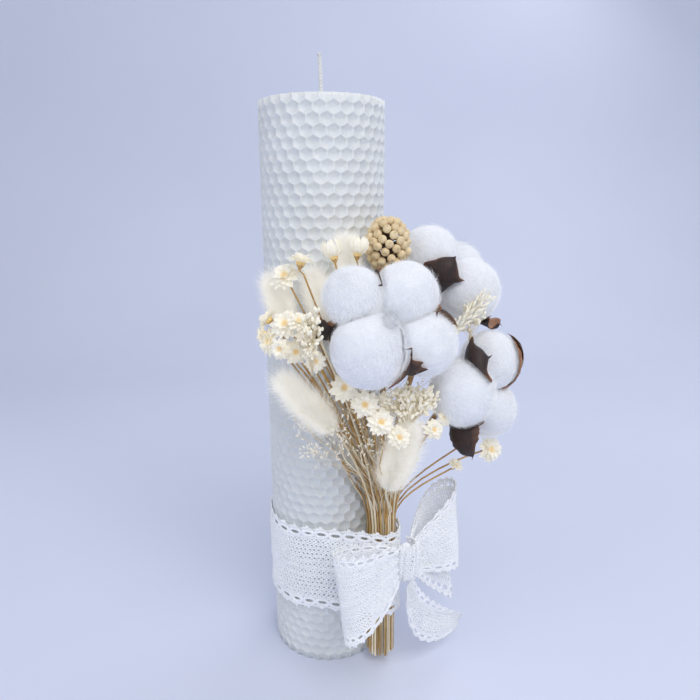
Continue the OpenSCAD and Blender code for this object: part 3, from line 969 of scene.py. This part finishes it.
def burr_leaf(base, belly, tip, width, spread, locks, seed):
    """A dry carpel: cupped, dark outside and tan within, ending in a hooked point."""
    base, belly, tip = (np.asarray(p, float) for p in (base, belly, tip))
    middle = np.mean([centre for centre, _ in locks], axis=0)
    rows, cols, thick = 26, 9, 1.0
    draw = np.random.default_rng(seed)
    rings, shade = [], []
    for i in range(rows):
        t = i / (rows - 1)
        p = bezier([base, mix(base, belly, 0.9), mix(belly, tip, 0.35), tip], t)
        ahead = unit(mix(belly - base, tip - belly, t))
        side = unit(np.cross(ahead, p - middle))
        up = unit(np.cross(side, ahead))
        inward = 1 if up @ (middle - p) > 0 else -1
        turn = math.radians(spread) * min(1, t * 2)
        c, d = math.cos(turn), math.sin(turn)
        side, up = side * c + up * d, up * c - side * d
        w = width * 0.7 * (0.06 + 0.94 * math.sin(math.pi * min(1, t * 0.92 + 0.08)) ** 0.8)
        hook = inward * 2.2 * max(0, t - 0.86) / 0.14
        a = np.linspace(-1, 1, cols)
        frill = 0.25 * np.sin(a * 5 + t * 11 + seed) * abs(t - 0.5)
        ragged = 1 + 0.05 * math.sin(t * 31 + seed) + draw.normal(0, 0.02)
        cup = inward * (w * 0.45 * a**2 + frill - hook)
        line = p + side * (a[:, None] * w * ragged) + up * cup[:, None]
        line = mix(line, clear_of_lint(line, locks, 0.7 + 1.5 * t), min(1, t * 4))
        skin = up * inward * thick * 0.5 * (1 - 0.7 * np.abs(a[:, None]))
        rings.append(np.concatenate([line - skin, (line + skin)[::-1]]))
        shade.append(np.concatenate([np.where(np.abs(a) > 0.9, 0.25, 0.0), np.full(cols, 0.95)]))
    points = np.concatenate(rings + [[base], [tip + unit(tip - belly) * 0.6]])
    return points, closed_faces(rows, 2 * cols), np.concatenate(shade + [[0.3, 0.1]])


def boll(name, locks, base, leaves, seed):
    lint = [cotton_lock(c, r, np.asarray(base, float), locks, seed + i) for i, (c, r) in enumerate(locks)]
    piece(f"{name}_cotton", join(lint), COTTON, "posy", [f"{name}_boll_lint"])
    for half in (0, 1):
        fuzz = cotton_fuzz(locks[2 * half:2 * half + 2], locks, LINT_FIBRES, seed + 50 * half)
        piece(f"{name}_fuzz_{half}", fuzz, COTTON_HAIR, "posy")
    burr = [burr_leaf(base, *leaf, locks, seed + i) for i, leaf in enumerate(leaves)]
    burr.append((*ball(base, [3.4, 3.4, 3], 10, 14, rough(0.08, 0.8, seed)), 0.0))
    piece(f"{name}_burr", join(burr), HUSK, "posy", [f"{name}_boll_burr"])


def dew_drop():
    low, high = box_mm("dew_bead")
    r = (high[0] - low[0]) / 2

    def bumps(d):
        return 1 - 0.05 * np.clip(d[:, 1], 0, 1) + 0.01 * waves(d, 1.2, 8)

    drop = ball((low + high) / 2, [r, r, r * 0.97], 24, 32, bumps)
    piece("glass_drop", drop, drop_material(), "posy", ["dew_bead"])


# ---- Bunny tails ----

TAIL_HAIRS = 6800
# Base, tip and radius of each tail, as in the CAD
TAILS = {
    "left": [[4, -43, 125], [-20, -50, 153], 6],
    "centre": [[25, -45, 99], [35, -54, 135], 7],
    "back": [[1, -36, 170], [-5, -36, 192], 5.5],
    "outer": [[-15, -34, 169], [-22, -34, 190], 5],
    "high": [[11, -33.5, 183], [8, -33.5, 206], 4.5],
}


def bunny_tail(name, base, tip, radius, seed):
    """A seed head thick with long soft hairs that rise towards its tip."""
    base, tip = np.asarray(base, float), np.asarray(tip, float)
    axis = unit(tip - base)
    height = np.linalg.norm(tip - base)
    draw = np.random.default_rng(seed)
    core_r = radius * 0.5
    core = ball(mix(base, tip, 0.47), [core_r, core_r, height * 0.43], 26, 24, rough(0.08, 0.5, seed), axis)
    count = TAIL_HAIRS
    t = draw.beta(1.5, 1.7, count)
    flat = circle(draw.uniform(0, 2 * math.pi, count))
    around = turned(np.concatenate([flat, np.zeros((count, 1))], 1), axis)
    half = np.sqrt(np.clip(1 - (2 * t - 1) ** 2, 0, 1)) * radius * 0.46
    root = base + axis * (t * height * 0.9)[:, None] + around * half[:, None]
    spread = (1.15 - 0.75 * t + draw.normal(0, 0.25, count))[:, None]
    heading = unit(axis + around * spread + draw.normal(0, 0.2, (count, 3)))
    long = (draw.uniform(0.6, 1.13, count) ** 1.5 * (radius * 1.15 + 1.7))[:, None]
    steps = np.linspace(0, 1, 4)[None, :, None]
    bend = around * draw.uniform(-0.5, 1.6, (count, 1))
    path = heading[:, None] * long[:, None] * steps + bend[:, None] * steps**2
    piece(f"bunny_{name}_core", (*core, 0.0), BUNNY, "posy", [f"bunny_tail_{name}"])
    piece(f"bunny_{name}_hair", hairs(root, path, 0.05), BUNNY_HAIR, "posy")


# ---- Star flowers ----

# Centre, direction and radius of each flower, as in the CAD. The last lists are closed buds and small heads
STAR_LEFT = [[[-15, -46, 171], [-0.3, -0.7, 0.6], 5], [[-21, -44, 164], [-0.7, -0.5, 0.3], 4.5],
             [[-12, -48, 161], [0.2, -0.8, 0.2], 4], [[-8, -50, 168], [0.4, -0.7, 0.5], 3.5],
             [[-22, -40, 172], [-0.8, 0.2, 0.6], 4]]
STAR_CENTRE = [[[9, -43, 152], [-0.2, -0.3, 0.9], 3.5], [[7, -53, 147], [0.1, -0.8, 0.5], 4.5],
               [[15, -55, 141], [0, -0.9, 0.3], 4.5], [[21, -57, 134], [0.2, -0.8, 0.5], 4.5],
               [[43, -50, 128], [0.3, -0.8, 0.4], 3.5]]
STAR_RIGHT = [[[73, -27, 109], [0.4, -0.8, 0.3], 5], [[63, -18, 108], [0.5, 0.5, 0.7], 4],
              [[57, -31, 103], [0.4, -0.2, 0.9], 3]]
STAR_UPPER = [[[-15, -40, 189], [-0.3, -0.7, 0.7], 5], [[-9, -45, 195], [0.2, 0.1, 1], 4.5]]
STAR_BUDS = [[[4, -44, 197], [-0.2, 0, 1], 4], [[13, -43, 198], [0.1, 0, 1], 4]]
STAR_SMALL = [[[-17, -50, 163], [-0.4, -0.9, 0.1], 3.6], [[-4, -52, 158], [0.1, -0.9, 0.3], 3.4],
              [[-24, -42, 167], [-0.9, -0.2, 0.1], 3.4], [[-10, -51, 173], [0.1, -0.6, 0.8], 3.6],
              [[28, -58, 128], [0.2, -0.8, 0.5], 3.8], [[48, -46, 132], [0.5, -0.7, 0.3], 3.2]]
# Whorls of petals from the outside in: (count, length, rise, curl), in flower radii
OPEN_WHORLS = [(10, 1.22, 0.1, 0.1), (9, 1.1, 0.5, 0.2), (9, 0.9, 0.95, 0.15), (8, 0.66, 1.4, -0.2)]
CLOSED_WHORLS = [(9, 1.5, 0, 0), (9, 1.75, 0, 0), (8, 2.0, 0, 0)]
# Angles in radians between neighbours of a spiral: packed heads, and side branches
GOLDEN_TURN, SIDE_TURN = 2.39996, 2.4


def petal(length, width, rise, curl):
    """A pointed petal along +X, cupped, and closed all round."""
    rows, cols, thick = 8, 5, 0.16
    u = np.linspace(0, 1, rows)[:, None]
    a = np.linspace(-1, 1, cols)[None, :]
    w = width / 2 * (np.sin(math.pi * (0.12 + 0.86 * u)) ** 0.75)
    x = length * u * np.ones_like(a)
    y = a * w
    z = rise * np.sin(u * 1.5) - curl * u**3 + 0.35 * w * a**2
    bulge = thick * (1.05 - np.abs(a)) * (1.1 - u)
    top = np.stack([x, y, z + bulge], -1)
    under = np.stack([x, y, z - bulge], -1)[:, ::-1]
    rings = np.concatenate([top, under], 1).reshape(-1, 3)
    ends = np.array([[0, 0, 0], [length * 1.03, 0, z[-1, 2]]])
    shade = np.clip(1 - 2.6 * rings[:, 0] / length, 0, 1) * 0.4
    return np.concatenate([rings, ends]), closed_faces(rows, 2 * cols), np.concatenate([shade, [0.7, 0.1]])


def folded_up(p, radius, ring):
    """Points of a petal wrapped round the ball of a closed flower."""
    bend = p[:, 0] / radius * 1.25
    out = radius * (0.86 - 0.07 * ring) + p[:, 2]
    height = radius - out * 1.12 * np.cos(bend)
    return np.stack([out * np.sin(bend), p[:, 1] * np.cos(0.35 * bend), height], 1)


def star_flower(centre, face, radius, seed, closed=False):
    """Three whorls of papery petals round a golden button, over a golden-brown cup."""
    draw = np.random.default_rng(seed)
    parts = []
    for ring, (count, long, steep, curl) in enumerate(CLOSED_WHORLS if closed else OPEN_WHORLS):
        for i in range(count):
            length = radius * long * draw.uniform(0.88, 1.1)
            rise = radius * steep * 0.42 * draw.uniform(0.8, 1.2)
            width = radius * draw.uniform(0.58, 0.76)
            p, f, s = petal(length, width, rise, curl * radius * 0.35 * draw.uniform(0.4, 1.3))
            if closed:
                p = folded_up(p, radius, ring)
            turn = 2 * math.pi * (i + 0.5 * (ring % 2)) / count + draw.normal(0, 0.09)
            c, d = math.cos(turn), math.sin(turn)
            root = [c * 0.1 * radius, d * 0.1 * radius, radius * 0.2]
            parts.append((p @ np.array([[c, d, 0], [-d, c, 0], [0, 0, 1]]) + root, f, s))
    cup = ball([0, 0, radius * 0.08], [radius * 0.42, radius * 0.42, radius * 0.3], 10, 14, rippled(0.05, 7))
    parts.append((*cup, 1.0))
    florets = 0 if closed else 40
    for i in range(florets):
        x, y = radius * 0.4 * math.sqrt((i + 0.5) / florets) * circle(i * GOLDEN_TURN)
        floret_r = radius * 0.055
        place = [x, y, radius * 0.38 + 0.1 * (i % 3)]
        floret = ball(place, [floret_r, floret_r, radius * 0.12], 5, 6, tapered(-0.1))
        parts.append((*floret, 0.62))
    p, f, s = join(parts)
    return turned(p, face) + np.asarray(centre, float), f, s


def star_group(name, flowers, nodes, seed, closed=False):
    heads = [star_flower(c, face, r, seed + i, closed) for i, (c, face, r) in enumerate(flowers)]
    piece(name, join(heads), PETAL, "posy", nodes)


def extra_flowers():
    """Smaller heads that crowd round the left-hand flowers, each on its own thin stem."""
    star_group("star_flowers_small", STAR_SMALL, [], 700)
    stems = []
    for i, (centre, face, _) in enumerate(STAR_SMALL):
        stems.append(tube(stem_path(slot_at(-3.4 + 1.2 * i, 4.4), centre, face, 20), 0.36, 6))
    piece("star_small_stems", join(stems), STRAW, "posy")


# ---- Berries and sprays ----

def berries():
    """Twice the CAD's berries on the same egg, each with a navel; dark pedicels run in to the branch."""
    low, high = box_mm("berries")
    centre = (low + high) / 2
    groups = solids("berries")
    r = np.ptp(groups[0][:, 2]) / 2
    half = (high - low) / 2 - r
    count = 2 * len(groups)
    up = 1 - 2 * (np.arange(count)[:, None] + 0.5) / count
    around = np.sqrt(1 - up * up) * circle(np.arange(count) * GOLDEN_TURN)
    places = centre + half * 1.04 * np.concatenate([around, up], 1)
    places += np.random.default_rng(9).normal(0, 0.22, places.shape)
    r *= 0.9
    parts, stalks = [], []
    for i, middle in enumerate(places):
        face = unit(middle - centre)

        def bumps(d):
            top = d[:, 2]
            dent, lip = np.exp(-((1 - top) / 0.035)), np.exp(-((0.9 - top) / 0.08) ** 2)
            return 1 - 0.16 * dent + 0.03 * lip + 0.02 * waves(d, 1, i)

        p, f = ball([0, 0, 0], [r * 0.98, r * 0.98, r * 1.02], 14, 16, bumps)
        navel = 0.7 * np.exp(-np.linalg.norm(p - [0, 0, r], axis=1) / 0.45)
        parts.append((turned(p, face) + middle, f, navel))
        joint = centre + [0, 0, np.clip(middle[2] - centre[2] - 4, -12, 4)]
        mid = mix(joint, middle, 0.5) - [0, 0, 0.8]
        path = bezier([joint, joint + [0, 0, 1], mid, middle - face * r * 0.8], np.linspace(0, 1, 7))
        stalks.append(tube(path, np.linspace(0.4, 0.25, 7), 5))
    for i in range(9):
        start = centre + [0, 0, i * 1.1 - 16]
        tip = start + [*(5.5 * circle(i * SIDE_TURN)), 6 + i * 0.5]
        path = bezier([start, start + [0, 0, 2], tip - [0, 0, 2], tip], np.linspace(0, 1, 7))
        stalks.append(tube(path, np.linspace(0.55, 0.3, 7), 5))
    piece("berry_cluster", join(parts), BERRY, "posy", ["berries"])
    piece("berry_pedicels", join(stalks), BARK, "posy")


def spray(name, node, extra, seed):
    """Tiny pale buds at the ends of hair-thin branches; extra is how many more than the CAD's."""
    draw = np.random.default_rng(seed)
    low, high = box_mm(node)
    centre, half = (low + high) / 2, (high - low) / 2
    buds, twigs = [], []
    places = [points.mean(axis=0) for points in solids(node)]
    for _ in range(extra):
        d = unit(draw.normal(size=3)) * draw.uniform(0.3, 1) ** 0.33
        places.append(centre + d * (half - 1))
    fork = centre - [0, 0, half[2] + 6]
    for i, place in enumerate(places):
        join_at = fork + [draw.normal(0, 0.5), draw.normal(0, 0.5), draw.uniform(0, 1) * (half[2] + 2)]
        lean = unit(place - join_at)
        bend = [join_at + [0, 0, 3], place - lean * 2 - [0, 0, 1]]
        path = bezier([join_at, *bend, place], np.linspace(0, 1, 8))
        twigs.append(tube(path, np.linspace(0.17, 0.1, 8), 4))

        def bumps(d):
            return 1 - 0.25 * np.clip(d[:, 2], 0, 1) + 0.04 * waves(d, 0.7, i)

        for j in range(3):
            off = draw.normal(0, 0.9, 3) if j else np.zeros(3)
            r = draw.uniform(0.55, 0.95)
            axis = lean + draw.normal(0, 0.35, 3)
            shape = ball(place + off, [r * 0.8, r * 0.8, r * 1.5], 6, 8, bumps, axis)
            buds.append((*shape, float(draw.uniform(0, 0.35))))
            if j:
                side_path = [place - lean * 2, place - lean + off * 0.6, place + off]
                twigs.append(tube(side_path, [0.12, 0.1, 0.08], 4))
    piece(f"{name}_buds", join(buds), FILLER, "posy", [node])
    piece(f"{name}_twigs", join(twigs), PALE_STRAW, "posy")


def oat_spike():
    """A pale grass spike leans out between the right-hand locks."""
    base, tip = np.array([52, -36, 164.0]), np.array([68, -34, 181.0])
    axis = unit(tip - base)
    draw = np.random.default_rng(44)
    parts = [tube(mix(base, tip, np.linspace(0, 1, 6)[:, None]), 0.35, 6)]
    spikelets, awns = 46, 500
    for i in range(spikelets):
        t = i / (spikelets - 1)
        around = turned(np.array([[*circle(i * SIDE_TURN), 0]]), axis)[0]
        place = mix(base, tip, t) + around * (1.5 + 1.2 * t)
        parts.append(ball(place, [0.55, 0.55, 1.9], 6, 7, pointed(0.3), axis + around * 0.35))
    root = mix(base, tip, draw.uniform(0, 1, awns)[:, None])
    heading = unit(axis + 0.45 * draw.normal(size=(awns, 3)))
    path = heading[:, None] * np.linspace(0, 1, 4)[None, :, None] * draw.uniform(2.5, 5, (awns, 1, 1))
    parts.append(hairs(root, path, 0.04))
    piece("grass_spike", join([(*p[:2], 0.05) for p in parts]), FILLER, "posy")


def fine_sprays():
    """Feathery pale grass fills the posy's lower front."""
    draw = np.random.default_rng(61)
    stalks, seeds_each = 60, 10
    parts, seeds = [], []
    for i in range(stalks):
        place = slot_at(draw.uniform(-3, 3), draw.uniform(3.5, 6))
        head = np.array([draw.uniform(-14, 46), draw.uniform(-52, -44), draw.uniform(118, 156)])
        head = push_out(head, 6)
        path = wobble(stem_path(place, head, [draw.normal(0, 0.4), -0.5, 1], 18), 0.9, 100 + i)
        parts.append(tube(path, np.linspace(0.2, 0.07, len(path)), 4))
        for j in range(seeds_each):
            at = path[-1 - (j % 7)]
            d = unit([draw.normal(), draw.normal(-0.3), draw.normal(0.6)])
            end = at + d * draw.uniform(1.5, 4)
            parts.append(tube([at, mix(at, end, 0.6) + [0, 0, 0.3], end], [0.07, 0.06, 0.05], 3))
            seeds.append((*ball(end, [0.32, 0.32, 0.75], 4, 6, tapered(0.2), d), 0.1))
    piece("fine_grass", join(parts), PALE_STRAW, "posy")
    piece("fine_grass_seeds", join(seeds), FILLER, "posy")


# ---- Stage, light and camera ----

def backdrop():
    """A pale sheet runs along the floor and up behind the candle in one sweep."""
    floor_end, sweep_r = 500, 400
    sweep = np.linspace(0.08, 1.57, 14)
    depth = np.concatenate([np.linspace(-900, floor_end, 20), floor_end + sweep_r * np.sin(sweep),
                            np.full(8, floor_end + sweep_r)])
    rise = np.concatenate([np.zeros(20), sweep_r - sweep_r * np.cos(sweep), np.linspace(450, 1600, 8)])
    across = np.linspace(-1500, 1500, 12)
    points = np.array([[x, y, z] for y, z in zip(depth, rise) for x in across])
    mesh = bpy.data.meshes.new("backdrop")
    faces = grid_faces(len(depth), len(across), wrap=False)
    mesh.from_pydata((points * MM).tolist(), [], faces.tolist())
    mesh.polygons.foreach_set("use_smooth", np.full(len(faces), True))
    mesh.materials.append(backdrop_material())
    add_object("backdrop", mesh)


def area_light(name, place, aim, size, power, colour):
    light = bpy.data.lights.new(name, "AREA")
    light.size = size
    light.energy = power
    light.color = colour
    obj = add_object(name, light)
    obj.location = place
    obj.rotation_euler = (Vector(aim) - Vector(place)).to_track_quat("-Z", "Y").to_euler()


def lighting():
    """Soft studio light; each lamp has its place, aim and size in metres, its watts and its colour."""
    middle = (0, 0, 0.15)
    area_light("key", (0.35, -0.75, 1.0), (0.02, 0, 0.15), 0.8, 7.4, (1, 0.995, 0.98))
    area_light("fill", (-0.8, -0.6, 0.5), middle, 0.9, 2.2, (0.93, 0.95, 1))
    area_light("back", (0.5, 0.55, 0.9), middle, 0.6, 2.4, (0.95, 0.96, 1))
    world = bpy.data.worlds.new("soft_room")
    world.use_nodes = True
    background = world.node_tree.nodes["Background"]
    background.inputs["Color"].default_value = (0.86, 0.89, 1, 1)
    background.inputs["Strength"].default_value = 0.5
    bpy.context.scene.world = world
    bpy.context.scene.view_settings.view_transform = "Standard"


CAMERA_AT = (0, -0.27825, 0.21712)
CAMERA_PITCH, CAMERA_YAW, CAMERA_ROLL = 13.596, 2.4207, -0.3365
CAMERA_LENS = 30.92


def camera():
    """A phone-like view from a little above, close in front of the candle."""
    pitch, yaw, roll = (math.radians(angle) for angle in (CAMERA_PITCH, CAMERA_YAW, CAMERA_ROLL))
    ahead = Vector((math.sin(yaw) * math.cos(pitch), math.cos(yaw) * math.cos(pitch), -math.sin(pitch)))
    level = Vector((math.cos(yaw), -math.sin(yaw), 0))
    above = level.cross(ahead)
    right = math.cos(roll) * level + math.sin(roll) * above
    up = math.cos(roll) * above - math.sin(roll) * level
    data = bpy.data.cameras.new("camera")
    data.sensor_width = 36
    data.lens = CAMERA_LENS
    data.clip_start = 0.01
    data.dof.use_dof = False
    obj = add_object("camera", data)
    turn = Matrix((right, up, -ahead)).transposed().to_4x4()
    obj.matrix_world = Matrix.Translation(CAMERA_AT) @ turn
    bpy.context.scene.camera = obj


def finish_cad_nodes():
    """The CAD's own stems, tie and core keep their shape and take a real material."""
    finishes = {
        WAX: ["core_roll"],
        TWINE: ["stem_tie"],
        COTTON_STALK: [f"{name}_boll_stem" for name in ("front", "right", "lower")],
        STRAW: [f"star_{group}_stems" for group in ("left", "centre", "right", "upper", "bud")],
        BARK: ["berry_stem"],
        PALE_STRAW: ["bunny_tail_stalks", "straw_stems", "filler_left_stems", "filler_centre_stems",
                     "filler_right_stems"],
    }
    for material, nodes in finishes.items():
        for node in nodes:
            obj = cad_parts[node]
            if not obj.material_slots:
                obj.data.materials.append(material)
            for entry in obj.material_slots:
                entry.material = material


camera()
lighting()
backdrop()
comb_sheet()
wick()
ribbon_band()
bow()
finish_cad_nodes()
extra_straws()
boll("front", FRONT_LOCKS, FRONT_BASE, FRONT_LEAVES, 100)
boll("right", RIGHT_LOCKS, RIGHT_BASE, RIGHT_LEAVES, 200)
boll("lower", LOWER_LOCKS, LOWER_BASE, LOWER_LEAVES, 300)
dew_drop()
for index, (tail_name, tail) in enumerate(TAILS.items()):
    bunny_tail(tail_name, *tail, 400 + index)
star_group("star_flowers_left", STAR_LEFT, ["star_left_heads"], 500)
star_group("star_flowers_centre", STAR_CENTRE, ["star_centre_heads"], 520)
star_group("star_flowers_right", STAR_RIGHT, ["star_right_heads"], 540)
star_group("star_flowers_upper", STAR_UPPER, ["star_upper_heads"], 560)
extra_flowers()
star_group("star_flower_buds", STAR_BUDS, ["star_bud_heads"], 580, closed=True)
berries()
spray("spray_left", "filler_left_buds", 34, 600)
spray("spray_centre", "filler_centre_buds", 95, 620)
spray("spray_right", "filler_right_buds", 10, 640)
oat_spike()
fine_sprays()
